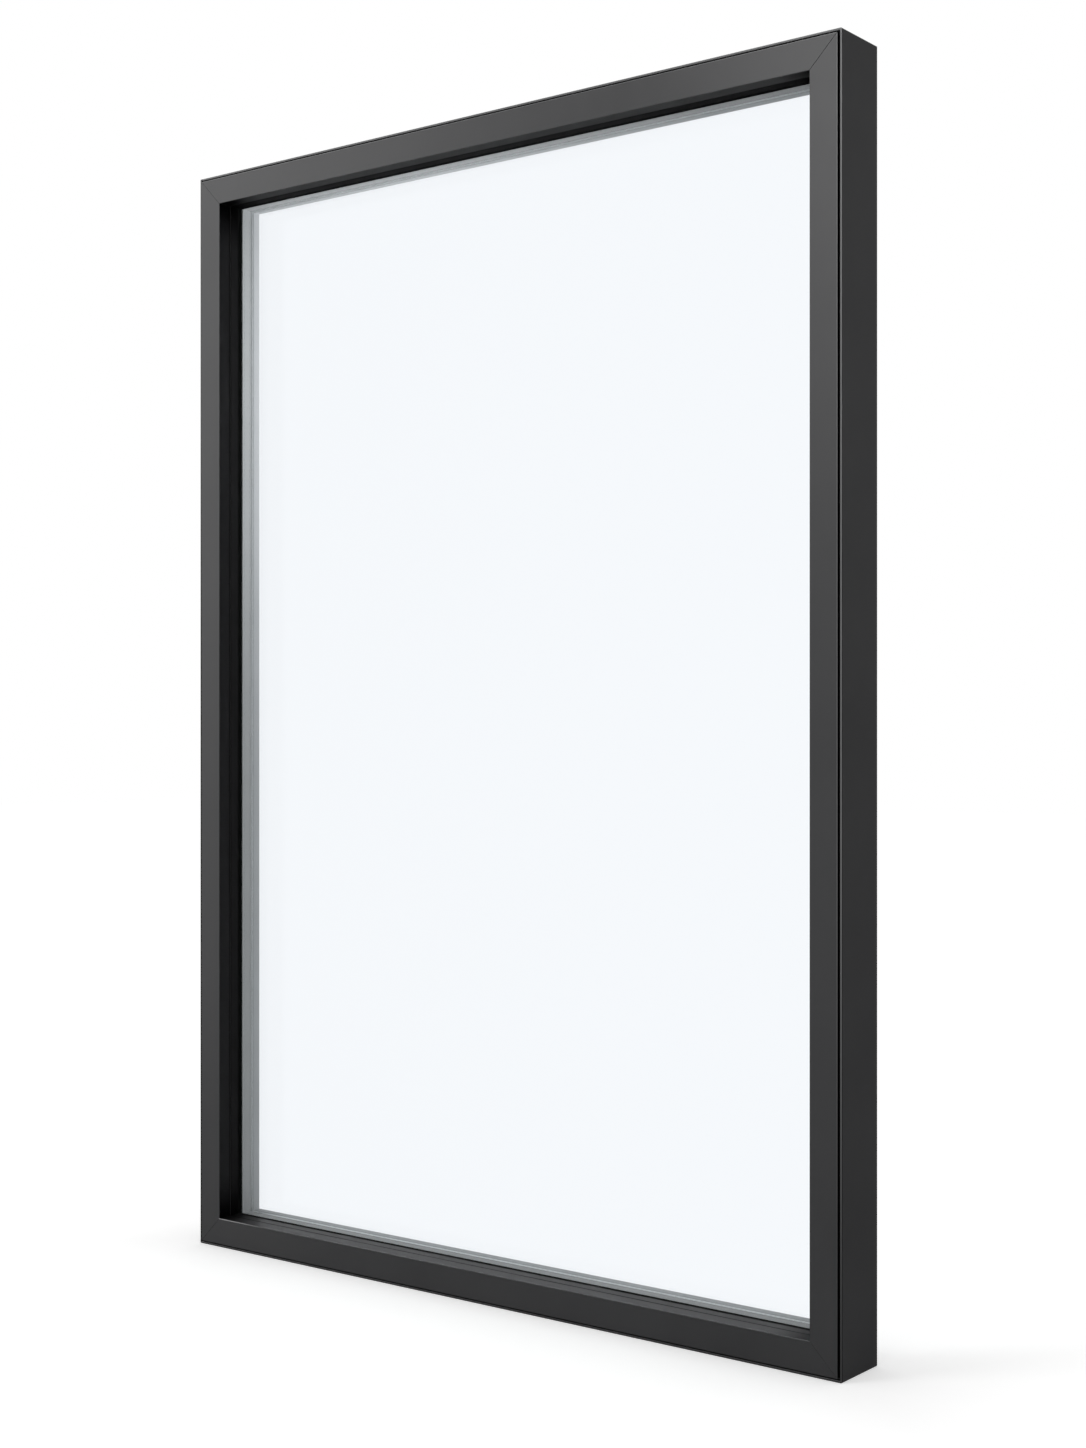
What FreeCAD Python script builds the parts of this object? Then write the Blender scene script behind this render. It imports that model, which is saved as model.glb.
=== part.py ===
import FreeCAD, Part
import math
import os

Vector = FreeCAD.Vector

# A fixed picture window: four mitred hollow frame members, a mitred clip-on
# front cover, and a sealed double glass unit held between the frame's front
# stop and the rear beads. Lengths are millimetres.
# The front faces -Y, and the origin is the middle of the footprint on the sill's underside.
# In every section, u runs inwards from the window's outer side and v runs
# backwards from the front edge of the frame's outer lip.

# Outer size
window_width = 1100.0
window_height = 1600.0

# Frame member
box_width = 26.0            # outer side to the floor of the glass rebate
lip_wall = 2.8              # outer wall, whose front edge shows beside the cover
web_wall = 1.8
rear_wall = 2.0
seat_depth = 7.0            # lip's front edge to the web that carries the cover
stop_band = 15.0            # part of the front stop that shows behind the cover
frame_corner_radius = 2.0
lip_radius = 0.7
rear_radius = 1.0
stop_radius = 0.5

# Front cover
cover_proud = 2.0           # cover's face ahead of the frame's lip
cover_wall = 2.0
cover_inset = 5.0           # cover's outer edge from the window's outer side
cover_return = 20.0         # depth of the cover's leg along the daylight opening
cover_joint = 1.2           # shadow joint between that leg and the front stop
cover_slack = 0.3
cover_mitre_gap = 0.3
cover_corner_radius = 1.2
cover_radius = 0.6

# Clips that hold the cover and the beads in slots of the frame
clip_wall = 1.6
clip_reach = 1.4            # clip's end beyond the inside of the slotted wall
clip_clearance = 0.2
cover_clip_place = 14.0     # cover's clip from the window's outer side

# Sealed glass unit
pane_thickness = 5.0
cavity = 16.0
edge_cover = 12.0           # pane's edge behind the daylight opening
edge_clearance = 5.0        # pane's edge to the floor of the rebate
spacer_height = 7.0
spacer_setback = 1.2        # spacer's sight face from the daylight edge
spacer_wall = 0.6
spacer_chamfer = 1.8

# Gaskets
front_gasket = 9.0
rear_gasket = 3.0
gasket_height = 8.5
front_setback = 0.2         # front gasket's nose from the daylight edge
rear_setback = 0.4
front_nose_radius = 0.4
rear_nose_radius = 0.5

# Rear beads
bead_depth = 11.8
bead_wall = 1.5
bead_rear_radius = 0.8
bead_front_radius = 0.4

# Setting blocks under the glass unit
block_length = 100.0
block_place = 275.0         # middle of a block from the window's outer side
block_overhang = 1.0        # block beyond each face of the unit

# Corner keys inside the frame's front chamber
key_leg = 60.0
key_clearance = 0.15

# Depths that follow from the sizes above
stop_front = cover_return + cover_joint
stop_rear = stop_front + stop_band
unit_front = stop_rear + front_gasket
cavity_front = unit_front + pane_thickness
cavity_rear = cavity_front + cavity
unit_rear = cavity_rear + pane_thickness
bead_front = unit_rear + rear_gasket
frame_depth = bead_front + bead_depth
depth_middle = (frame_depth - cover_proud) / 2

# Widths that follow from the sizes above
pane_inset = box_width + edge_clearance
sight_width = pane_inset + edge_cover
cover_leg_inner = sight_width - cover_wall
stop_inner = cover_leg_inner - cover_slack
spacer_sight = sight_width - spacer_setback
spacer_inset = spacer_sight - spacer_height

# The four sides in order, each a quarter turn on from the one before
ring_sides = ["sill", "jamb_left", "head", "jamb_right"]
mitre_angle = math.radians(45)

cut_margin = 5.0            # how far a cutting shape runs past what it cuts


def rounded_corner(before, point, after, radius):
    # The arc that rounds a corner, from the line before it to the line after it
    to_before = (before - point).normalize()
    to_after = (after - point).normalize()
    half_angle = to_before.getAngle(to_after) / 2
    reach = radius / math.tan(half_angle)
    crown = radius / math.sin(half_angle) - radius
    return Part.Arc(
        point + to_before * reach,
        point + (to_before + to_after).normalize() * crown,
        point + to_after * reach,
    )


def section(corners):
    # A face across a member from (u, v) corners, or (u, v, radius) where one is rounded
    points = [Vector(0, v, u) for u, v, *radius in corners]
    edges = []
    starts = []
    ends = []
    for i, (u, v, *radius) in enumerate(corners):
        start = end = points[i]
        if radius:
            after = points[(i + 1) % len(points)]
            arc = rounded_corner(points[i - 1], points[i], after, radius[0])
            edges.append(arc.toShape())
            start = arc.StartPoint
            end = arc.EndPoint
        starts.append(start)
        ends.append(end)
    for i, start in enumerate(starts):
        edges.append(Part.makeLine(ends[i - 1], start))
    return Part.Face(Part.Wire(Part.sortEdges(edges)[0]))


def rectangle(u0, v0, u1, v1):
    return section([(u0, v0), (u1, v0), (u1, v1), (u0, v1)])


def mitre_prism(length, across, gap):
    # Holds a sill member between its two 45 degree ends
    half = length / 2 - gap / 2 / math.sin(mitre_angle)
    top = sight_width + cut_margin
    front = -cover_proud - cut_margin
    corners = [(-half, 0), (half, 0), (half - top, top), (top - half, top)]
    points = [Vector(x, front, u - across / 2) for x, u in corners + corners[:1]]
    depth = frame_depth + cut_margin - front
    return Part.Face(Part.makePolygon(points)).extrude(Vector(0, depth, 0))


def corner_prism(inset, radius):
    # The whole window's outline at an inset, with rounded corners
    front = -cover_proud - cut_margin
    block = Part.makeBox(
        window_width - 2 * inset,
        frame_depth + cut_margin - front,
        window_height - 2 * inset,
        Vector(inset - window_width / 2, front, inset - window_height / 2),
    )
    upright = [e for e in block.Edges if abs(e.tangentAt(e.FirstParameter).y) > 0.5]
    return block.makeFillet(radius, upright)


def place(shape):
    # From the window's middle and the lip's depth to the part's own frame
    shape.translate(Vector(0, -depth_middle, window_height / 2))
    return shape


def member(profile, side, gap=0, outline=None):
    # One side of a mitred ring, from a section drawn for the sill
    length, across = window_width, window_height
    if side.startswith("jamb"):
        length, across = window_height, window_width
    turn = 90 * ring_sides.index(side)
    profile = profile.copy()
    profile.translate(Vector(-length / 2, 0, -across / 2))
    bar = profile.extrude(Vector(length, 0, 0)).common(mitre_prism(length, across, gap))
    bar.rotate(Vector(0, 0, 0), Vector(0, 1, 0), turn)
    if outline:
        bar = bar.common(outline)
    return place(bar)


def write_ring(name, profile, gap=0, outline=None):
    for side in ring_sides:
        export(member(profile, side, gap, outline), name + "_" + side)


def export(shape, node):
    solids = shape.Solids
    kept = solids[0] if len(solids) == 1 else shape
    kept.exportStep("parts/" + node + ".step")
    print(node, len(solids), round(kept.Volume / 1000, 1), "cm3", kept.isValid())


def frame_profile():
    # Outer lip, cover seat, front stop and glass rebate, with three chambers
    outer = section([
        (0, 0, lip_radius),
        (lip_wall, 0, lip_radius),
        (lip_wall, seat_depth),
        (stop_inner, seat_depth),
        (stop_inner, stop_front),
        (sight_width, stop_front, stop_radius),
        (sight_width, stop_rear, stop_radius),
        (box_width, stop_rear),
        (box_width, frame_depth),
        (0, frame_depth, rear_radius),
    ])
    wall_inner = box_width - web_wall
    front_inner = seat_depth + web_wall
    front_chamber = rectangle(lip_wall, front_inner, wall_inner, stop_rear - web_wall)
    rear_chamber = rectangle(lip_wall, stop_rear, wall_inner, frame_depth - rear_wall)
    stop_chamber = section([
        (box_width, front_inner),
        (stop_inner - web_wall, front_inner),
        (stop_inner - web_wall, stop_front + web_wall),
        (sight_width - web_wall, stop_front + web_wall),
        (sight_width - web_wall, stop_rear - web_wall),
        (box_width, stop_rear - web_wall),
    ])
    cover_slot = rectangle(
        cover_clip_place - clip_clearance,
        seat_depth - cut_margin / 2,
        cover_clip_place + clip_wall + clip_clearance,
        front_inner,
    )
    bead_slot = rectangle(
        wall_inner,
        bead_clip_front() - clip_clearance,
        box_width + cut_margin,
        bead_clip_front() + clip_wall + clip_clearance,
    )
    return outer.cut([front_chamber, rear_chamber, stop_chamber, cover_slot, bead_slot])


def bead_clip_front():
    return bead_front + (bead_depth - clip_wall) / 2


def cover_profile():
    # Face plate, outer leg on the seat, middle clip and the leg along the opening
    clip_end = seat_depth + web_wall + clip_reach
    return section([
        (cover_inset, -cover_proud, cover_radius),
        (sight_width, -cover_proud, cover_radius),
        (sight_width, cover_return),
        (cover_leg_inner, cover_return),
        (cover_leg_inner, cover_wall - cover_proud),
        (cover_clip_place + clip_wall, cover_wall - cover_proud),
        (cover_clip_place + clip_wall, clip_end),
        (cover_clip_place, clip_end),
        (cover_clip_place, cover_wall - cover_proud),
        (cover_inset + cover_wall, cover_wall - cover_proud),
        (cover_inset + cover_wall, seat_depth),
        (cover_inset, seat_depth),
    ])


def front_gasket_profile():
    nose = sight_width - front_setback
    root = nose - gasket_height
    return section([
        (root, stop_rear),
        (nose, stop_rear, rear_nose_radius),
        (nose, unit_front, front_nose_radius),
        (root, unit_front),
    ])


def rear_gasket_profile():
    nose = sight_width - rear_setback
    root = nose - gasket_height
    return section([
        (root, unit_rear),
        (nose, unit_rear, rear_nose_radius),
        (nose, bead_front, rear_nose_radius),
        (root, bead_front),
    ])


def bead_profile():
    # Hollow bead on the rebate's floor, with a clip down through the floor's slot
    clip_front = bead_clip_front()
    clip_end = box_width - web_wall - clip_reach
    outer = section([
        (box_width, bead_front),
        (sight_width, bead_front, bead_front_radius),
        (sight_width, frame_depth, bead_rear_radius),
        (box_width, frame_depth),
        (box_width, clip_front + clip_wall),
        (clip_end, clip_front + clip_wall),
        (clip_end, clip_front),
        (box_width, clip_front),
    ])
    hollow = rectangle(
        box_width + bead_wall,
        bead_front + bead_wall,
        sight_width - bead_wall,
        frame_depth - bead_wall,
    )
    return outer.cut(hollow)


def spacer_profile():
    # Hollow bar between the panes, its sight face just short of the daylight edge
    outer = section([
        (spacer_inset, cavity_front + spacer_chamfer),
        (spacer_inset + spacer_chamfer, cavity_front),
        (spacer_sight, cavity_front),
        (spacer_sight, cavity_rear),
        (spacer_inset + spacer_chamfer, cavity_rear),
        (spacer_inset, cavity_rear - spacer_chamfer),
    ])
    hollow = rectangle(
        spacer_inset + spacer_chamfer,
        cavity_front + spacer_wall,
        spacer_sight - spacer_wall,
        cavity_rear - spacer_wall,
    )
    return outer.cut(hollow)


def seal_profile():
    # Sealant from the panes' edge to the back of the spacer
    return section([
        (pane_inset, cavity_front),
        (spacer_inset + spacer_chamfer, cavity_front),
        (spacer_inset, cavity_front + spacer_chamfer),
        (spacer_inset, cavity_rear - spacer_chamfer),
        (spacer_inset + spacer_chamfer, cavity_rear),
        (pane_inset, cavity_rear),
    ])


def glass_pane(front):
    # One pane, whose edges stand clear of the rebate's floor all round
    return place(Part.makeBox(
        window_width - 2 * pane_inset,
        pane_thickness,
        window_height - 2 * pane_inset,
        Vector(pane_inset - window_width / 2, front, pane_inset - window_height / 2),
    ))


def setting_block(middle):
    # Lies on the rebate's floor and carries the bottom edge of both panes
    front = unit_front - block_overhang
    return place(Part.makeBox(
        block_length,
        unit_rear + block_overhang - front,
        edge_clearance,
        Vector(middle - block_length / 2, front, box_width - window_height / 2),
    ))


def corner_key(side_x, side_z):
    # Angle block that joins two mitred members inside their front chambers
    outer = lip_wall + key_clearance
    inner = box_width - web_wall - key_clearance
    front = seat_depth + web_wall + clip_reach + key_clearance
    depth = stop_rear - web_wall - key_clearance - front
    corners = [
        (outer, outer),
        (outer + key_leg, outer),
        (outer + key_leg, inner),
        (inner, inner),
        (inner, outer + key_leg),
        (outer, outer + key_leg),
    ]
    points = []
    for x, z in corners + corners[:1]:
        across = side_x * (window_width / 2 - x)
        up = side_z * (window_height / 2 - z)
        points.append(Vector(across, front, up))
    return place(Part.Face(Part.makePolygon(points)).extrude(Vector(0, depth, 0)))


def main():
    os.makedirs("parts", exist_ok=True)
    frame_outline = corner_prism(0, frame_corner_radius)
    cover_outline = corner_prism(cover_inset, cover_corner_radius)
    write_ring("frame", frame_profile(), outline=frame_outline)
    write_ring("cover", cover_profile(), cover_mitre_gap, cover_outline)
    write_ring("gasket_front", front_gasket_profile())
    write_ring("gasket_rear", rear_gasket_profile())
    write_ring("bead", bead_profile())
    write_ring("spacer", spacer_profile())
    write_ring("edge_seal", seal_profile())
    export(glass_pane(unit_front), "glass_pane_front")
    export(glass_pane(cavity_rear), "glass_pane_rear")
    block_middle = window_width / 2 - block_place
    export(setting_block(-block_middle), "setting_block_left")
    export(setting_block(block_middle), "setting_block_right")
    export(corner_key(-1, -1), "corner_key_bottom_left")
    export(corner_key(1, -1), "corner_key_bottom_right")
    export(corner_key(-1, 1), "corner_key_top_left")
    export(corner_key(1, 1), "corner_key_top_right")


main()
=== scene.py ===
import math

import bmesh
import bpy
from mathutils import Matrix, Vector


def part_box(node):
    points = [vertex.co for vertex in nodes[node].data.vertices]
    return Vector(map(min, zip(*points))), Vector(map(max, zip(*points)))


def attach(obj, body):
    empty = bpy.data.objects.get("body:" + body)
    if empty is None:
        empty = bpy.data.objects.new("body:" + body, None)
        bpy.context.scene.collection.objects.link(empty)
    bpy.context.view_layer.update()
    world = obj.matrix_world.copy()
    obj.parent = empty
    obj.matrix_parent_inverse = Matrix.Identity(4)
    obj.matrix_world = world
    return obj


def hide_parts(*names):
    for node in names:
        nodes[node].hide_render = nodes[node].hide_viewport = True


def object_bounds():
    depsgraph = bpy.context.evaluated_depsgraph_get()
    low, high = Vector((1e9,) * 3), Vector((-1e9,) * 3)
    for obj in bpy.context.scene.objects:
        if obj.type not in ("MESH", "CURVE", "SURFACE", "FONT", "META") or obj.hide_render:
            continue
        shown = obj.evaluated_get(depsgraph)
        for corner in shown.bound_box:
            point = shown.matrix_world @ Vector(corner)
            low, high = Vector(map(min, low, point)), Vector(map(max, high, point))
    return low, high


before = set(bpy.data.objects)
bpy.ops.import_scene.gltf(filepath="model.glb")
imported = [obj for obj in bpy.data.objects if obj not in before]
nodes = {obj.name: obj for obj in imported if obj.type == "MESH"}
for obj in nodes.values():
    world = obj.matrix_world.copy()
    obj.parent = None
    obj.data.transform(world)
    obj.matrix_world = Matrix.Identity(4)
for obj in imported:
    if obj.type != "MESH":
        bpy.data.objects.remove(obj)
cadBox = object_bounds()
sides = ("sill", "jamb_left", "head", "jamb_right")
print("frame loaded with", len(nodes), "pieces")

# The window's half width and height, then places in a bar's section, which runs along Y
# and inwards from the window's outer side
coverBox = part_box("cover_sill")
section = {
    "halfWidth": cadBox[1].x,
    "height": cadBox[1].z,
    "lipFront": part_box("frame_sill")[0].y,
    "coverFront": coverBox[0].y,
    "coverRear": coverBox[1].y,
    "coverEdge": coverBox[0].z,
    "sight": coverBox[1].z,
}
slack = 0.0001       # a mask reaches this far past the face that it marks


# Node helpers

def startMaterial(name):
    material = bpy.data.materials.new(name)
    material.use_nodes = True
    return material, material.node_tree, material.node_tree.nodes["Principled BSDF"]


def addNode(tree, kind, **sockets):
    node = tree.nodes.new(kind)
    for name, value in sockets.items():
        node.inputs[name].default_value = value
    return node


def objectPlace(tree, scale=(1, 1, 1)):
    # Object coordinates, squeezed where a finish runs along a bar
    place = tree.nodes.new("ShaderNodeTexCoord")
    mapping = addNode(tree, "ShaderNodeMapping", Scale=scale)
    tree.links.new(place.outputs["Object"], mapping.inputs["Vector"])
    return mapping.outputs["Vector"]


def splitPlace(tree):
    split = tree.nodes.new("ShaderNodeSeparateXYZ")
    tree.links.new(objectPlace(tree), split.inputs["Vector"])
    return split.outputs


def addNoise(tree, place, scale, detail=2.0):
    noise = addNode(tree, "ShaderNodeTexNoise", Scale=scale, Detail=detail)
    tree.links.new(place, noise.inputs["Vector"])
    return noise.outputs["Fac"]


def addRange(tree, value, low, high, fromLow=0.3, fromHigh=0.7, smooth=False):
    # Noise lies mostly between 0.3 and 0.7
    ranged = tree.nodes.new("ShaderNodeMapRange")
    if smooth:
        ranged.interpolation_type = "SMOOTHSTEP"
    ranged.inputs["From Min"].default_value = fromLow
    ranged.inputs["From Max"].default_value = fromHigh
    ranged.inputs["To Min"].default_value = low
    ranged.inputs["To Max"].default_value = high
    tree.links.new(value, ranged.inputs["Value"])
    return ranged.outputs["Result"]


def addMath(tree, operation, *values):
    step = tree.nodes.new("ShaderNodeMath")
    step.operation = operation
    for socket, value in zip(step.inputs, values):
        if isinstance(value, (int, float)):
            socket.default_value = value
        else:
            tree.links.new(value, socket)
    return step.outputs["Value"]


def both(tree, first, second):
    return addMath(tree, "MULTIPLY", first, second)


def either(tree, first, second):
    return addMath(tree, "MAXIMUM", first, second)


def inBand(tree, value, low, high):
    # 1 where the value lies between low and high
    return addMath(tree, "COMPARE", value, (low + high) / 2, (high - low) / 2)


def addBlend(tree, value, colourA, colourB):
    blend = tree.nodes.new("ShaderNodeMix")
    blend.data_type = "RGBA"
    for socket, colour in ((blend.inputs[6], colourA), (blend.inputs[7], colourB)):
        if isinstance(colour, tuple):
            socket.default_value = (*colour, 1)
        else:
            tree.links.new(colour, socket)
    tree.links.new(value, blend.inputs[0])
    return blend.outputs[2]


def addBump(tree, height, strength, distance, under=None):
    bump = addNode(tree, "ShaderNodeBump", Strength=strength, Distance=distance)
    tree.links.new(height, bump.inputs["Height"])
    if under:
        tree.links.new(under, bump.inputs["Normal"])
    return bump.outputs["Normal"]


def addShaderMix(tree, factor, first, second):
    mix = tree.nodes.new("ShaderNodeMixShader")
    tree.links.new(factor, mix.inputs[0])
    tree.links.new(first, mix.inputs[1])
    tree.links.new(second, mix.inputs[2])
    return mix.outputs["Shader"]


# Dark coat of the frame and its cover

darkCoat = {
    "low": (0.040, 0.040, 0.0415),
    "high": (0.046, 0.046, 0.0475),
    "clouds": (6, 3),            # noise scale and detail
    "gloss": 0.22,
    "roughness": (0.19, 0.22),
    "patches": (25, 4),          # of roughness
    "topGloss": 0.1,             # the face under the lintel is dull
    "bump": 0.2,
    "peel": (450, 0.00002),      # waves to the metre, and their depth
    "grain": (1900, 0.00002),
}
# Painted highlight on the outer edges, stronger higher up
paintedHighlight = {
    "colour": (0.12, 0.12, 0.123),
    "width": 0.0009,
    "rise": (0.05, 0.6),
}
# Painted highlight on the sill's inner edge near its left end
paintedEdgeGlint = {
    "colour": (0.3, 0.3, 0.305),
    "width": 0.0008,
    "depth": 0.0007,
    "reach": (-0.47, -0.41),
}
# Near-black marks: painted shade in the gap beside the jambs' covers, on the lip's outer corner and on the
# lower left lip, and the dark top right mitre joint
seamsAndShade = {
    "colour": (0.003, 0.003, 0.003),
    "gapStart": 0.0027,              # painted shade in the gap between the jambs' lips and covers
    "gapDepth": 0.0003,
    "cornerLine": (0.0005, 0.0014),  # painted shade line, behind the lip's front edge
    "mitreWidth": 0.0009,            # only the top right mitre is dark
    "mitreDepth": 0.0005,
    "mitreAbove": 1.0,               # in height
    "leftLip": (0.0008, 0.001),      # where the left lip's painted shade starts, and its depth
    "leftLipTone": 0.6,
    "leftLipFade": (0.85, 1.25),     # it fades out between these heights
}
# Painted shade: the coat's colour is darker on what lines the opening, less so on the sill, darkest in its
# corners and along the cover's joint; the coat is duller there too
reveals = {
    "cover": {"colour": (0.006, 0.006, 0.0065), "gloss": 0.13, "roughness": 0.5},
    "stop": {"colour": (0.009, 0.009, 0.0095), "gloss": 0.05, "roughness": 0.7},
    "sillCover": {"colour": (0.010, 0.010, 0.0105), "gloss": 0.17, "roughness": 0.5},
    "sillStop": {"colour": (0.010, 0.010, 0.0105), "gloss": 0.15, "roughness": 0.5},
    "start": (0.0003, 0.0015),       # behind the cover's front
    "cornerShade": 0.12,
    "cornerReach": 0.07,
    "joint": (-0.0015, 0.0025),      # painted shade band around the cover's rear end
    "jointShade": 0.4,
}


def sectionPlace(tree):
    # How far a point lies from the window's nearer side, from its nearer end and from the nearest of all
    place = splitPlace(tree)
    fromSide = addMath(tree, "SUBTRACT", section["halfWidth"], addMath(tree, "ABSOLUTE", place["X"]))
    fromTop = addMath(tree, "SUBTRACT", section["height"], place["Z"])
    fromEnd = addMath(tree, "MINIMUM", place["Z"], fromTop)
    return place, fromSide, fromEnd, addMath(tree, "MINIMUM", fromSide, fromEnd)


def addPaintedHighlight(tree, place, inward):
    # Painted highlight on the cover's outer edge and the lip beside it, on all but the left jamb
    edge, front, lip = section["coverEdge"], section["coverFront"], section["lipFront"]
    wide = paintedHighlight["width"]
    atCover = inBand(tree, place["Y"], front - wide, front + wide)
    onCover = both(tree, inBand(tree, inward, edge, edge + wide), atCover)
    atLip = inBand(tree, place["Y"], lip - wide, lip + wide)
    onLip = both(tree, inBand(tree, inward, 2 * slack, edge - slack), atLip)
    edges = addMath(tree, "ADD", onCover, onLip)
    edges = both(tree, edges, addRange(tree, place["Z"], 0, 1, *paintedHighlight["rise"]))
    offLeft = addMath(tree, "GREATER_THAN", place["X"], wide + edge - section["halfWidth"])
    return both(tree, edges, offLeft)


def addPaintedEdgeGlint(tree, place, inward):
    # Painted highlight along the sill's inner front edge, fading out to the right
    sight, front = section["sight"], section["coverFront"]
    onSill = addMath(tree, "LESS_THAN", place["Z"], sight + slack)
    edge = both(tree, inBand(tree, inward, sight - paintedEdgeGlint["width"], sight + slack), onSill)
    edge = both(tree, edge, inBand(tree, place["Y"], front - slack, front + paintedEdgeGlint["depth"]))
    return both(tree, edge, addRange(tree, place["X"], 1, 0, *paintedEdgeGlint["reach"]))


def addGapShade(tree, place, inward, upright):
    # Painted shade beside the jambs' covers, and fainter painted shade on the lower part of the left lip
    edge, lip = section["coverEdge"], section["lipFront"]
    start, depth = seamsAndShade["leftLip"]
    gap = both(tree, inBand(tree, inward, seamsAndShade["gapStart"], edge + slack), upright)
    deep = addMath(tree, "GREATER_THAN", place["Y"], section["coverFront"] + seamsAndShade["gapDepth"])
    onLip = both(tree, inBand(tree, inward, start, edge), inBand(tree, place["Y"], lip - depth, lip + depth))
    onLeft = both(tree, upright, addMath(tree, "LESS_THAN", place["X"], 0.0))
    fade = addRange(tree, place["Z"], seamsAndShade["leftLipTone"], 0, *seamsAndShade["leftLipFade"])
    return either(tree, both(tree, gap, deep), both(tree, both(tree, onLip, onLeft), fade))


def addMitre(tree, place, fromSide, fromEnd, inward):
    front = section["coverFront"]
    mitre = addMath(tree, "COMPARE", fromSide, fromEnd, seamsAndShade["mitreWidth"] / 2)
    mitre = both(tree, mitre, inBand(tree, place["Y"], front - slack, front + seamsAndShade["mitreDepth"]))
    mitre = both(tree, mitre, addMath(tree, "GREATER_THAN", inward, section["coverEdge"]))
    right = addMath(tree, "GREATER_THAN", place["X"], 0.0)
    above = addMath(tree, "GREATER_THAN", place["Z"], seamsAndShade["mitreAbove"])
    return both(tree, mitre, both(tree, right, above))


def addSeamsAndShade(tree, place, fromSide, fromEnd, inward):
    upright = addMath(tree, "LESS_THAN", fromSide, fromEnd)
    # Painted shade on the window's outer side, just behind the lip's front edge
    start, end = (section["lipFront"] + depth for depth in seamsAndShade["cornerLine"])
    corner = both(tree, inBand(tree, inward, -slack, 2 * slack), inBand(tree, place["Y"], start, end))
    dark = either(tree, addGapShade(tree, place, inward, upright), corner)
    return either(tree, dark, addMitre(tree, place, fromSide, fromEnd, inward))


def addRevealShade(tree, place, fromSide, fromEnd, inward):
    # Where the coat lines the opening, and how much painted shade darkens its corners and the band along the
    # cover's joint
    sight = section["sight"]
    start, end = (section["coverFront"] + depth for depth in reveals["start"])
    facing = addMath(tree, "GREATER_THAN", inward, sight - 2 * slack)
    mask = both(tree, facing, addRange(tree, place["Y"], 0, 1, start, end))
    along = either(tree, fromSide, fromEnd)
    shade = addRange(tree, along, reveals["cornerShade"], 1, sight, sight + reveals["cornerReach"], True)
    joint = inBand(tree, place["Y"], *(section["coverRear"] + depth for depth in reveals["joint"]))
    return mask, both(tree, shade, addRange(tree, joint, 1, reveals["jointShade"], 0, 1))


def makeDarkCoat(name, reveal):
    material, tree, shader = startMaterial(name)
    coordinates = objectPlace(tree)
    place, fromSide, fromEnd, inward = sectionPlace(tree)
    mask, shade = addRevealShade(tree, place, fromSide, fromEnd, inward)
    dark = addSeamsAndShade(tree, place, fromSide, fromEnd, inward)

    clouds = addNoise(tree, coordinates, *darkCoat["clouds"])
    tone = addBlend(tree, addRange(tree, clouds, 0, 1), darkCoat["low"], darkCoat["high"])
    # Painted highlight on the outer edges
    tone = addBlend(tree, addPaintedHighlight(tree, place, inward), tone, paintedHighlight["colour"])
    # Painted highlight on the sill's inner edge
    tone = addBlend(tree, addPaintedEdgeGlint(tree, place, inward), tone, paintedEdgeGlint["colour"])
    # Painted shade in the gaps and on the lips, and the dark mitre joint
    tone = addBlend(tree, dark, tone, seamsAndShade["colour"])
    # Painted shade where the coat lines the opening
    shadedLining = addBlend(tree, shade, (0, 0, 0), reveal["colour"])
    tree.links.new(addBlend(tree, mask, tone, shadedLining), shader.inputs["Base Color"])

    patches = addRange(tree, addNoise(tree, coordinates, *darkCoat["patches"]), *darkCoat["roughness"])
    rough = either(tree, patches, both(tree, mask, reveal["roughness"]))
    tree.links.new(rough, shader.inputs["Roughness"])

    gloss = addRange(tree, mask, darkCoat["gloss"], reveal["gloss"], 0, 1)
    shaded = either(tree, shade, addMath(tree, "SUBTRACT", 1.0, mask))
    clear = both(tree, shaded, addMath(tree, "SUBTRACT", 1.0, dark))
    top = addMath(tree, "GREATER_THAN", place["Z"], section["height"] - 4 * slack)
    clear = both(tree, clear, addRange(tree, top, 1, darkCoat["topGloss"], 0, 1))
    tree.links.new(both(tree, gloss, clear), shader.inputs["Specular IOR Level"])

    waves, depth = darkCoat["peel"]
    peel = addBump(tree, addNoise(tree, coordinates, waves), darkCoat["bump"], depth)
    waves, depth = darkCoat["grain"]
    grain = addBump(tree, addNoise(tree, coordinates, waves), darkCoat["bump"], depth, peel)
    tree.links.new(grain, shader.inputs["Normal"])
    return material


# Rubber of the gaskets, seals and blocks

rubber = {
    "black": ((0.004, 0.004, 0.004), (0.007, 0.007, 0.007)),
    "grey": ((0.40, 0.405, 0.405), (0.44, 0.445, 0.445)),
    "paintedContactLight": (0.92, 0.93, 0.93),       # painted light: the grey gasket's face against the pane, made paler where it lies in shade
    "clouds": (40, 3),
    "roughness": (0.55, 0.7),
    "gloss": 0.01,
    "grain": (2500, 0.3, 0.00003),       # waves to the metre, their strength and depth
}
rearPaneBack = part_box("glass_pane_rear")[1].y


def makeRubber(name, tones):
    material, tree, shader = startMaterial(name)
    place = objectPlace(tree)
    clouds = addNoise(tree, place, *rubber["clouds"])
    tone = addBlend(tree, addRange(tree, clouds, 0, 1), *tones)
    # Painted light on the face against the rear pane, which lies in shade
    if tones == rubber["grey"]:
        paintedContactLight = addMath(tree, "LESS_THAN", splitPlace(tree)["Y"], rearPaneBack + 3 * slack)
        tone = addBlend(tree, paintedContactLight, tone, rubber["paintedContactLight"])
    tree.links.new(tone, shader.inputs["Base Color"])
    tree.links.new(addRange(tree, clouds, *rubber["roughness"]), shader.inputs["Roughness"])
    shader.inputs["Specular IOR Level"].default_value = rubber["gloss"]
    waves, strength, depth = rubber["grain"]
    tree.links.new(addBump(tree, addNoise(tree, place, waves), strength, depth), shader.inputs["Normal"])
    return material


# Grey metal of the beads and spacer bars

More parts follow.
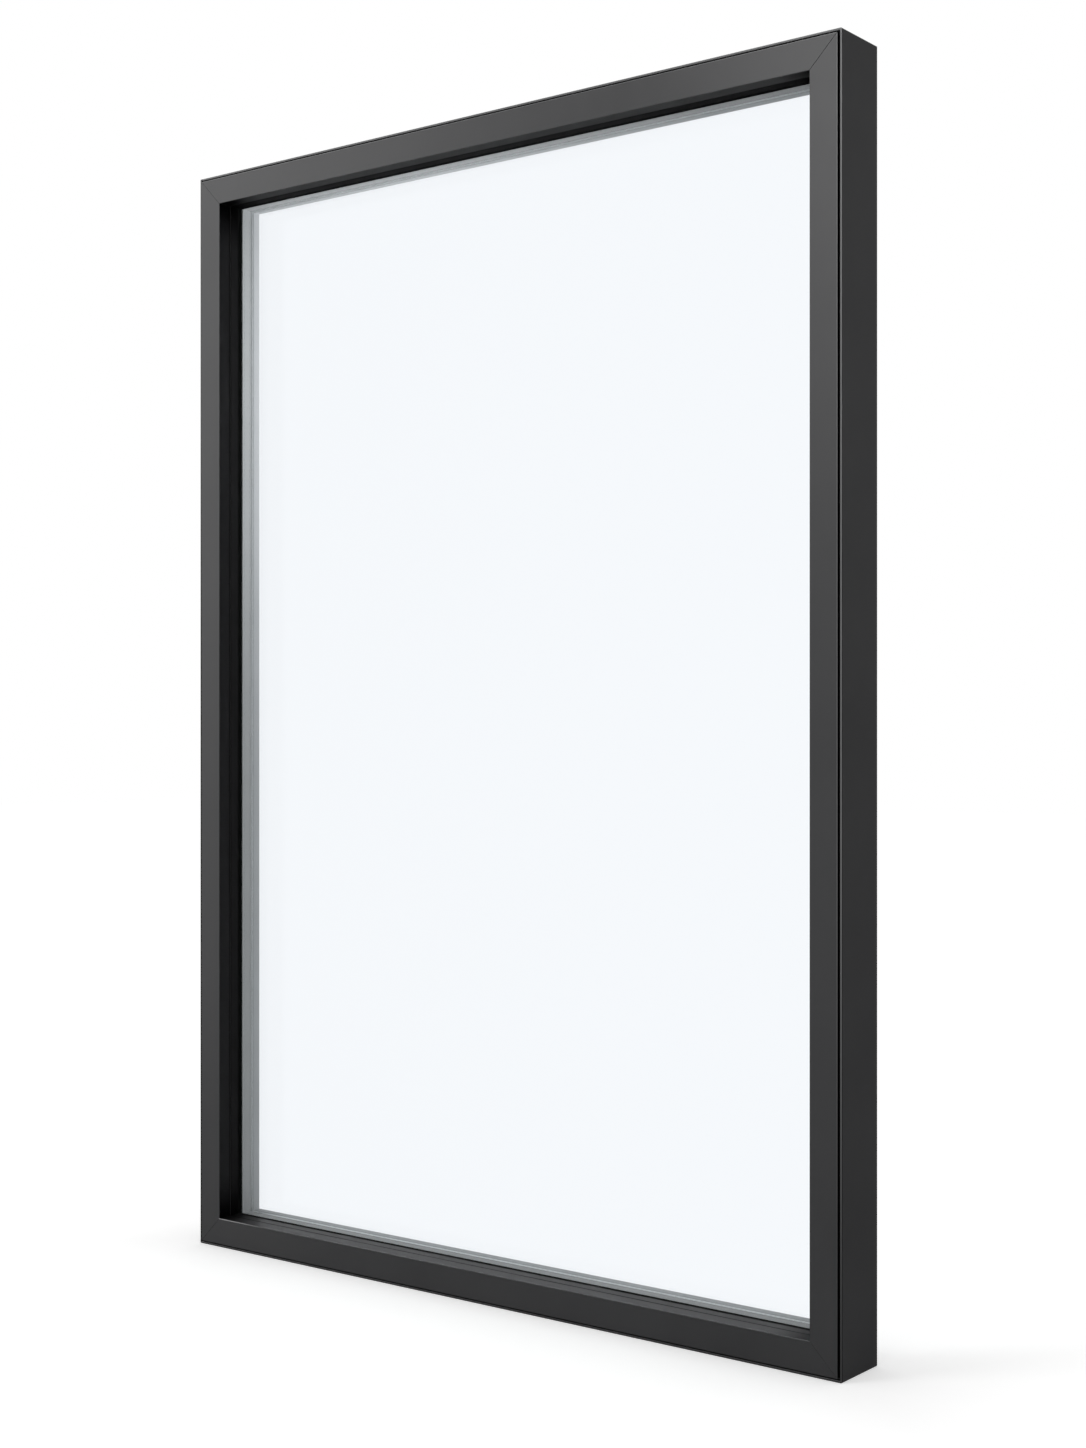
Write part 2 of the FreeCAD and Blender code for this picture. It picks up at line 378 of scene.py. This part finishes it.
greyMetal = {
    "bead": ((0.415, 0.42, 0.425), (0.445, 0.45, 0.455)),
    "spacer": ((0.345, 0.35, 0.355), (0.375, 0.38, 0.385)),
    "paintedFlankLight": (0.75, 0.76, 0.76),         # painted light: the spacer's side against the front pane, made paler where it lies in shade
    "upright": 1.22,                     # painted light: the jambs' bars are made a little paler than the sill's and the head's
    "clouds": (8, 3),
    "lines": (700, 3),                   # fine draw lines along the bar
    "lineLength": 0.01,
    "lineDepth": (0.15, 0.00003),
    "roughness": (0.6, 0.7),
    "gloss": 0.05,
}
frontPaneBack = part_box("glass_pane_front")[1].y


def makeGreyMetal(name, tones, along):
    material, tree, shader = startMaterial(name)
    squeeze = greyMetal["lineLength"]
    scale = (squeeze, 1, 1) if along == "x" else (1, 1, squeeze)
    # Painted light: the jambs' bars are made paler
    paintedLightScale = 1 if along == "x" else greyMetal["upright"]
    low, high = (tuple(level * paintedLightScale for level in tone) for tone in tones)
    lines = addNoise(tree, objectPlace(tree, scale), *greyMetal["lines"])
    clouds = addNoise(tree, objectPlace(tree), *greyMetal["clouds"])
    tone = addBlend(tree, addRange(tree, clouds, 0, 1), low, high)
    if tones == greyMetal["spacer"]:
        # Painted light on the side against the front pane, which lies in shade
        paintedFlankLight = addMath(tree, "LESS_THAN", splitPlace(tree)["Y"], frontPaneBack + 2 * slack)
        tone = addBlend(tree, paintedFlankLight, tone, greyMetal["paintedFlankLight"])
    tree.links.new(tone, shader.inputs["Base Color"])
    tree.links.new(addRange(tree, lines, *greyMetal["roughness"]), shader.inputs["Roughness"])
    shader.inputs["Specular IOR Level"].default_value = greyMetal["gloss"]
    tree.links.new(addBump(tree, lines, *greyMetal["lineDepth"]), shader.inputs["Normal"])
    return material


# Panes

glass = {
    "tint": (0.962, 0.976, 0.991),
    "clouds": (3, 1),
    "cloudTone": 0.998,
    "ior": 1.5,
    "mirror": 0.12,                  # low-reflection coating
    "clear": (0.97, 0.98, 0.98),     # what soft light and lamps keep
}


def makeGlass():
    # Soft light and lamps pass straight through the panes, so they cast no dark shadow
    material, tree, shader = startMaterial("clearGlass")
    clouds = addNoise(tree, objectPlace(tree), *glass["clouds"])
    low = tuple(level * glass["cloudTone"] for level in glass["tint"])
    tree.links.new(addBlend(tree, clouds, low, glass["tint"]), shader.inputs["Base Color"])
    shader.inputs["Transmission Weight"].default_value = 1
    shader.inputs["Roughness"].default_value = 0
    shader.inputs["IOR"].default_value = glass["ior"]
    shader.inputs["Specular Tint"].default_value = (glass["mirror"], glass["mirror"], glass["mirror"], 1)
    clear = addNode(tree, "ShaderNodeBsdfTransparent", Color=(*glass["clear"], 1)).outputs["BSDF"]
    path = tree.nodes.new("ShaderNodeLightPath").outputs
    soft = addShaderMix(tree, path["Is Diffuse Ray"], shader.outputs["BSDF"], clear)
    pane = addShaderMix(tree, path["Is Shadow Ray"], soft, clear)
    tree.links.new(pane, tree.nodes["Material Output"].inputs["Surface"])
    return material


finishes = {
    "coverCoat": makeDarkCoat("coverCoat", reveals["cover"]),
    "frameCoat": makeDarkCoat("frameCoat", reveals["stop"]),
    # The sill's coats are lit copies: their painted shade in the opening is lighter
    "sillCoverCoat": makeDarkCoat("sillCoverCoat", reveals["sillCover"]),
    "sillFrameCoat": makeDarkCoat("sillFrameCoat", reveals["sillStop"]),
    "blackRubber": makeRubber("blackRubber", rubber["black"]),
    "greyRubber": makeRubber("greyRubber", rubber["grey"]),
    "beadX": makeGreyMetal("greyBeadAcross", greyMetal["bead"], "x"),
    "beadZ": makeGreyMetal("greyBeadUpright", greyMetal["bead"], "z"),
    "spacerX": makeGreyMetal("spacerAcross", greyMetal["spacer"], "x"),
    "spacerZ": makeGreyMetal("spacerUpright", greyMetal["spacer"], "z"),
    "glass": makeGlass(),
}


def dress(node, finish):
    nodes[node].material_slots[0].material = finishes[finish]


for side in sides:
    axis = "Z" if side.startswith("jamb") else "X"
    dress("frame_" + side, "sillFrameCoat" if side == "sill" else "frameCoat")
    dress("cover_" + side, "sillCoverCoat" if side == "sill" else "coverCoat")
    dress("gasket_front_" + side, "blackRubber")
    dress("gasket_rear_" + side, "greyRubber")
    dress("edge_seal_" + side, "blackRubber")
    dress("bead_" + side, "bead" + axis)
    dress("spacer_" + side, "spacer" + axis)
for pane in ("glass_pane_front", "glass_pane_rear"):
    dress(pane, "glass")
for block in ("setting_block_left", "setting_block_right"):
    dress(block, "blackRubber")
for corner in ("bottom_left", "bottom_right", "top_left", "top_right"):
    dress("corner_key_" + corner, "beadX")
print("finishes on the packed pieces")


# Finer bars are drawn along X as the sill's are, cut to mitres and turned to their sides

nearly = 1e-6        # lengths that differ by less count as equal


def barLength(side):
    return section["height"] if side.startswith("jamb") else 2 * section["halfWidth"]


def startBar(node, length):
    # A plain bar with the node's section, whose inner face looks along +Z
    low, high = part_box(node)
    bm = bmesh.new()
    bmesh.ops.create_cube(bm, size=1)
    scale = Matrix.Diagonal((length, high.y - low.y, high.z - low.z, 1))
    middle = Matrix.Translation((0, (low.y + high.y) / 2, (low.z + high.z) / 2))
    bmesh.ops.transform(bm, matrix=middle @ scale, verts=bm.verts[:])
    return bm


def sliceBar(bm, place, normal, clear=False):
    bar = bm.verts[:] + bm.edges[:] + bm.faces[:]
    return bmesh.ops.bisect_plane(bm, geom=bar, dist=1e-7, plane_co=place, plane_no=normal, clear_outer=clear)


def longEdges(bm, level=None):
    # Edges along the bar, all of them or those at one height
    edges = [e for e in bm.edges if abs(e.verts[0].co.x - e.verts[1].co.x) > nearly]
    if level is None:
        return edges
    return [e for e in edges if all(abs(v.co.z - level) < nearly for v in e.verts)]


def bevelEdges(bm, edges, size, steps):
    bmesh.ops.bevel(bm, geom=edges, offset=size, segments=steps, profile=0.5, affect="EDGES", material=-1)


def cutMitres(bm, length):
    for end in (-1, 1):
        cut = sliceBar(bm, (end * length / 2, 0, 0), (end, 0, 1), True)
        rim = [e for e in cut["geom_cut"] if isinstance(e, bmesh.types.BMEdge)]
        bmesh.ops.holes_fill(bm, edges=rim, sides=0)


def placeBar(bm, side):
    width, height = 2 * section["halfWidth"], section["height"]
    turns = {"sill": 0, "jamb_left": 90, "head": 180, "jamb_right": -90}
    corners = {
        "sill": (0, 0, 0),
        "jamb_left": (-width / 2, 0, height / 2),
        "head": (0, 0, height),
        "jamb_right": (width / 2, 0, height / 2),
    }
    turn = Matrix.Rotation(math.radians(turns[side]), 4, "Y")
    bmesh.ops.transform(bm, matrix=Matrix.Translation(corners[side]) @ turn, verts=bm.verts[:])


def finishBar(bm, name, node, finish):
    bmesh.ops.recalc_face_normals(bm, faces=bm.faces[:])
    mesh = bpy.data.meshes.new(name)
    bm.to_mesh(mesh)
    bm.free()
    piece = bpy.data.objects.new(name, mesh)
    bpy.context.scene.collection.objects.link(piece)
    mesh.materials.append(finishes[finish])
    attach(piece, "root")
    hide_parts(node)


# Two fine grooves leave three ribs along the front gasket's nose
gasket = {
    "nose": 0.0005,
    "rib": 0.0018,
    "groove": 0.0012,
    "grooveDepth": 0.0007,
    "softEdge": 0.00015,
}


def makeGasket(side):
    bm = startBar("gasket_front_sill", barLength(side))
    low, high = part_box("gasket_front_sill")
    middle = (low.y + high.y) / 2
    half = gasket["rib"] / 2
    reach = half + gasket["groove"]
    for y in (-reach, -half, half, reach):
        sliceBar(bm, (0, middle + y, 0), (0, 1, 0))
    grooves = []
    for face in bm.faces:
        centre = face.calc_center_median()
        if face.normal.z > 0.5 and half < abs(centre.y - middle) < reach:
            grooves.append(face)
    sunk = bmesh.ops.extrude_discrete_faces(bm, faces=grooves)["faces"]
    floorVerts = [v for face in sunk for v in face.verts]
    bmesh.ops.translate(bm, vec=(0, 0, -gasket["grooveDepth"]), verts=floorVerts)
    outer = [e for e in longEdges(bm, high.z) if abs(e.verts[0].co.y - middle) > reach + nearly]
    bevelEdges(bm, outer, gasket["nose"], 3)
    inner = [e for e in longEdges(bm, high.z) if abs(e.verts[0].co.y - middle) < reach + nearly]
    bevelEdges(bm, inner, gasket["softEdge"], 2)
    cutMitres(bm, barLength(side))
    placeBar(bm, side)
    finishBar(bm, "ribbedGasket_" + side, "gasket_front_" + side, "blackRubber")


# Two rows of fine slits lead to the drying beads in the spacer
spacer = {
    "chamfer": 0.0018,
    "pitch": 0.008,
    "slitWidth": 0.0009,
    "slitDepth": 0.0005,
    "slitSlope": 0.0001,
    "plainEnd": 0.06,
}


def makeSpacer(side):
    length = barLength(side)
    bm = startBar("spacer_sill", length)
    low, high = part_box("spacer_sill")
    bevelEdges(bm, longEdges(bm, low.z), spacer["chamfer"], 1)
    # The inner face is cut into three rows of cells, and the outer two rows get a slit in each cell
    cells = round(length / spacer["pitch"])
    bmesh.ops.subdivide_edges(bm, edges=longEdges(bm), cuts=cells - 1, use_grid_fill=True)
    rungs = [e for e in bm.edges if all(abs(v.co.z - high.z) < nearly for v in e.verts)]
    rungs = [e for e in rungs if abs(e.verts[0].co.x - e.verts[1].co.x) < nearly]
    bmesh.ops.subdivide_edges(bm, edges=rungs, cuts=2, use_grid_fill=True)
    middle = (low.y + high.y) / 2
    rowWidth = (high.y - low.y) / 3
    reach = length / 2 - spacer["plainEnd"]
    seats = []
    for face in bm.faces:
        centre = face.calc_center_median()
        inRow = abs(centre.y - middle) > rowWidth / 2 and abs(centre.x) < reach
        if inRow and face.normal.z > 0.5 and abs(centre.z - high.z) < nearly:
            seats.append(face)
    across = (rowWidth - spacer["slitWidth"]) / 2
    slope, depth = spacer["slitSlope"], spacer["slitDepth"]
    bmesh.ops.inset_individual(bm, faces=seats, thickness=across, use_even_offset=True)
    bmesh.ops.inset_individual(bm, faces=seats, thickness=slope, depth=-depth, use_even_offset=True)
    cutMitres(bm, length)
    placeBar(bm, side)
    finish = "spacerZ" if side.startswith("jamb") else "spacerX"
    finishBar(bm, "slitSpacer_" + side, "spacer_" + side, finish)


for side in sides:
    makeGasket(side)
    makeSpacer(side)
print("gaskets and spacer bars in place")


# Studio

studio = {
    "fill": 0.68,              # soft light all round
    "paneShine": 0.82,         # what the panes mirror
    "coatShine": 0.03,         # what the coat mirrors from the front, at its darkest
    "shinePeak": 3.5,
    "shineRise": (-0.30, 0.28),    # mirrored light grows from low to high
    "shineAcross": ((-0.71, 1.0), (-0.66, 0.97), (-0.61, 0.78), (-0.585, 0.0), (-0.545, 0.0), (-0.50, 0.9)),
    "cornerShine": 1.0,            # an extra patch high on the right
    "cornerRise": (0.05, 0.32),
    "cornerAcross": (-0.53, -0.48),
    "backShine": (1.2, 0.2),       # from left to right behind the window
    "backAcross": (-0.3, 0.3),
    "backLow": 0.2,                # less of it from below
    "backRise": (-0.25, 0.1),
    "frontToBack": (-0.3, 0.3),
}
# The floor's glow makes it white; the glow is weaker beside the window, a painted shadow that deepens the
# window's own shadow there
studioFloor = {
    "tone": 0.82,
    "glow": (0.385, 0.45),     # beside the window, and away from it
    "reach": (0.03, 0.28),
    "half": 16.0,
}


def addSwitch(tree, factor, first, second):
    switch = tree.nodes.new("ShaderNodeMix")
    for socket, value in ((switch.inputs[2], first), (switch.inputs[3], second)):
        if isinstance(value, (int, float)):
            socket.default_value = value
        else:
            tree.links.new(value, socket)
    tree.links.new(factor, switch.inputs[0])
    return switch.outputs[0]


def lightPath(tree):
    # Which rays see the studio straight on or through the panes, and which in a reflection
    path = tree.nodes.new("ShaderNodeLightPath").outputs
    unlit = addMath(tree, "LESS_THAN", path["Diffuse Depth"], 0.5)
    bounced = addMath(tree, "GREATER_THAN", path["Glossy Depth"], 0.5)
    through = both(tree, path["Is Transmission Ray"], unlit)
    glossy = both(tree, path["Is Glossy Ray"], unlit)
    mirrored = both(tree, either(tree, through, glossy), bounced)
    seen = addMath(tree, "SUBTRACT", either(tree, path["Is Camera Ray"], through), bounced)
    return path, either(tree, seen, 0.0), mirrored


def mirroredTwice(tree, path):
    # Such a ray went back and forth between the panes and leaves at the back
    return addMath(tree, "GREATER_THAN", path["Glossy Depth"], 1.5)


def addShineRamp(tree, value):
    # How bright the front's light is from left to right
    stops = studio["shineAcross"]
    first, last = stops[0][0], stops[-1][0]
    ramp = tree.nodes.new("ShaderNodeValToRGB")
    elements = ramp.color_ramp.elements
    for number, (place, level) in enumerate(stops):
        element = elements[number] if number < 2 else elements.new(1.0)
        element.position = (place - first) / (last - first)
        element.color = (level, level, level, 1)
    tree.links.new(addRange(tree, value, 0, 1, first, last), ramp.inputs["Fac"])
    return ramp.outputs["Color"]


def addFrontShine(tree, direction, path):
    # A broad soft light, stronger on the left and high up, that the panes don't show
    rise = addRange(tree, direction["Z"], 0, 1, *studio["shineRise"])
    broad = both(tree, rise, addShineRamp(tree, direction["X"]))
    high = addRange(tree, direction["Z"], 0, studio["cornerShine"], *studio["cornerRise"], True)
    right = addRange(tree, direction["X"], 0, 1, *studio["cornerAcross"], True)
    soft = both(tree, addMath(tree, "ADD", broad, both(tree, high, right)), studio["shinePeak"])
    coat = addMath(tree, "ADD", soft, studio["coatShine"])
    return addSwitch(tree, path["Is Singular Ray"], coat, studio["paneShine"])


def addBackShine(tree, direction, path):
    across = addRange(tree, direction["X"], *studio["backShine"], *studio["backAcross"])
    level = both(tree, across, addRange(tree, direction["Z"], studio["backLow"], 1, *studio["backRise"]))
    return addSwitch(tree, mirroredTwice(tree, path), level, 1.0)


def makeWorld():
    world = bpy.data.worlds.new("studioWorld")
    bpy.context.scene.world = world
    world.use_nodes = True
    tree = world.node_tree
    tree.nodes.clear()
    path, seen, mirrored = lightPath(tree)
    place = tree.nodes.new("ShaderNodeTexCoord")
    split = tree.nodes.new("ShaderNodeSeparateXYZ")
    tree.links.new(place.outputs["Generated"], split.inputs["Vector"])
    direction = split.outputs
    behind = addRange(tree, direction["Y"], 0, 1, *studio["frontToBack"])
    front = addFrontShine(tree, direction, path)
    shine = addSwitch(tree, behind, front, addBackShine(tree, direction, path))
    strength = addSwitch(tree, seen, addSwitch(tree, mirrored, studio["fill"], shine), 1.0)
    background = addNode(tree, "ShaderNodeBackground", Color=(1, 1, 1, 1))
    tree.links.new(strength, background.inputs["Strength"])
    output = tree.nodes.new("ShaderNodeOutputWorld")
    tree.links.new(background.outputs[0], output.inputs["Surface"])


def makePaleFloor():
    material, tree, shader = startMaterial("paleFloor")
    tone = studioFloor["tone"]
    shader.inputs["Base Color"].default_value = (tone, tone, tone, 1)
    shader.inputs["Roughness"].default_value = 1
    shader.inputs["Specular IOR Level"].default_value = 0
    path, seen, mirrored = lightPath(tree)
    place = splitPlace(tree)
    beside = addMath(tree, "SUBTRACT", addMath(tree, "ABSOLUTE", place["X"]), section["halfWidth"])
    away = either(tree, beside, addMath(tree, "ABSOLUTE", place["Y"]))
    # Less glow beside the window: painted shadow
    glow = addRange(tree, away, *studioFloor["glow"], *studioFloor["reach"], True)
    tree.links.new(both(tree, seen, glow), shader.inputs["Emission Strength"])
    shader.inputs["Emission Color"].default_value = (1, 1, 1, 1)
    # Through the panes the floor is as even as the backdrop, and so is their reflection of it
    white = addNode(tree, "ShaderNodeEmission", Color=(1, 1, 1, 1))
    ahead = both(tree, mirrored, addMath(tree, "LESS_THAN", place["Y"], 0.0))
    tree.links.new(addSwitch(tree, ahead, 1.0, studio["paneShine"]), white.inputs["Strength"])
    even = either(tree, either(tree, seen, ahead), mirroredTwice(tree, path))
    throughPanes = both(tree, even, path["Is Transmission Ray"])
    surface = addShaderMix(tree, throughPanes, shader.outputs["BSDF"], white.outputs["Emission"])
    tree.links.new(surface, tree.nodes["Material Output"].inputs["Surface"])
    return material


def makeFloor():
    bm = bmesh.new()
    bmesh.ops.create_grid(bm, x_segments=1, y_segments=1, size=studioFloor["half"])
    mesh = bpy.data.meshes.new("studioFloor")
    bm.to_mesh(mesh)
    bm.free()
    mesh.materials.append(makePaleFloor())
    floor = bpy.data.objects.new("studioFloor", mesh)
    bpy.context.scene.collection.objects.link(floor)
    floor.visible_glossy = False


lamps = {
    "leftSoftbox": {"place": (-2.4, -3.6, 2.4), "aim": (0, 0, 0.9), "size": (1.6, 1.6), "power": 50},
    "backSoftbox": {"place": (-0.25, 0.5, 1.25), "aim": (-0.5, 0, 1.6), "size": (0.5, 0.3), "power": 4.6},
}


def makeLamp(name):
    setup = lamps[name]
    data = bpy.data.lights.new(name, "AREA")
    data.shape = "RECTANGLE"
    data.size, data.size_y = setup["size"]
    data.energy = setup["power"]
    data.specular_factor = 0.0
    lamp = bpy.data.objects.new(name, data)
    lamp.location = setup["place"]
    aim = Vector(setup["aim"]) - Vector(setup["place"])
    lamp.rotation_euler = aim.to_track_quat("-Z", "Y").to_euler()
    lamp.visible_camera = False
    lamp.visible_glossy = False
    lamp.visible_transmission = False
    bpy.context.scene.collection.objects.link(lamp)


cameraSetup = {
    "place": (1.7714, -2.1862, 0.7685),
    "turn": 37.88,           # degrees left of straight on
    "lens": 51.5,
    "shift": 0.0056,
}


def makeCamera():
    data = bpy.data.cameras.new("camera")
    data.lens = cameraSetup["lens"]
    data.shift_y = cameraSetup["shift"]
    camera = bpy.data.objects.new("camera", data)
    camera.location = cameraSetup["place"]
    camera.rotation_euler = (math.radians(90), 0, math.radians(cameraSetup["turn"]))
    bpy.context.scene.collection.objects.link(camera)
    bpy.context.scene.camera = camera


makeWorld()
makeFloor()
for lampName in lamps:
    makeLamp(lampName)
makeCamera()
bpy.context.scene.view_settings.view_transform = "Standard"
print("studio and camera ready")
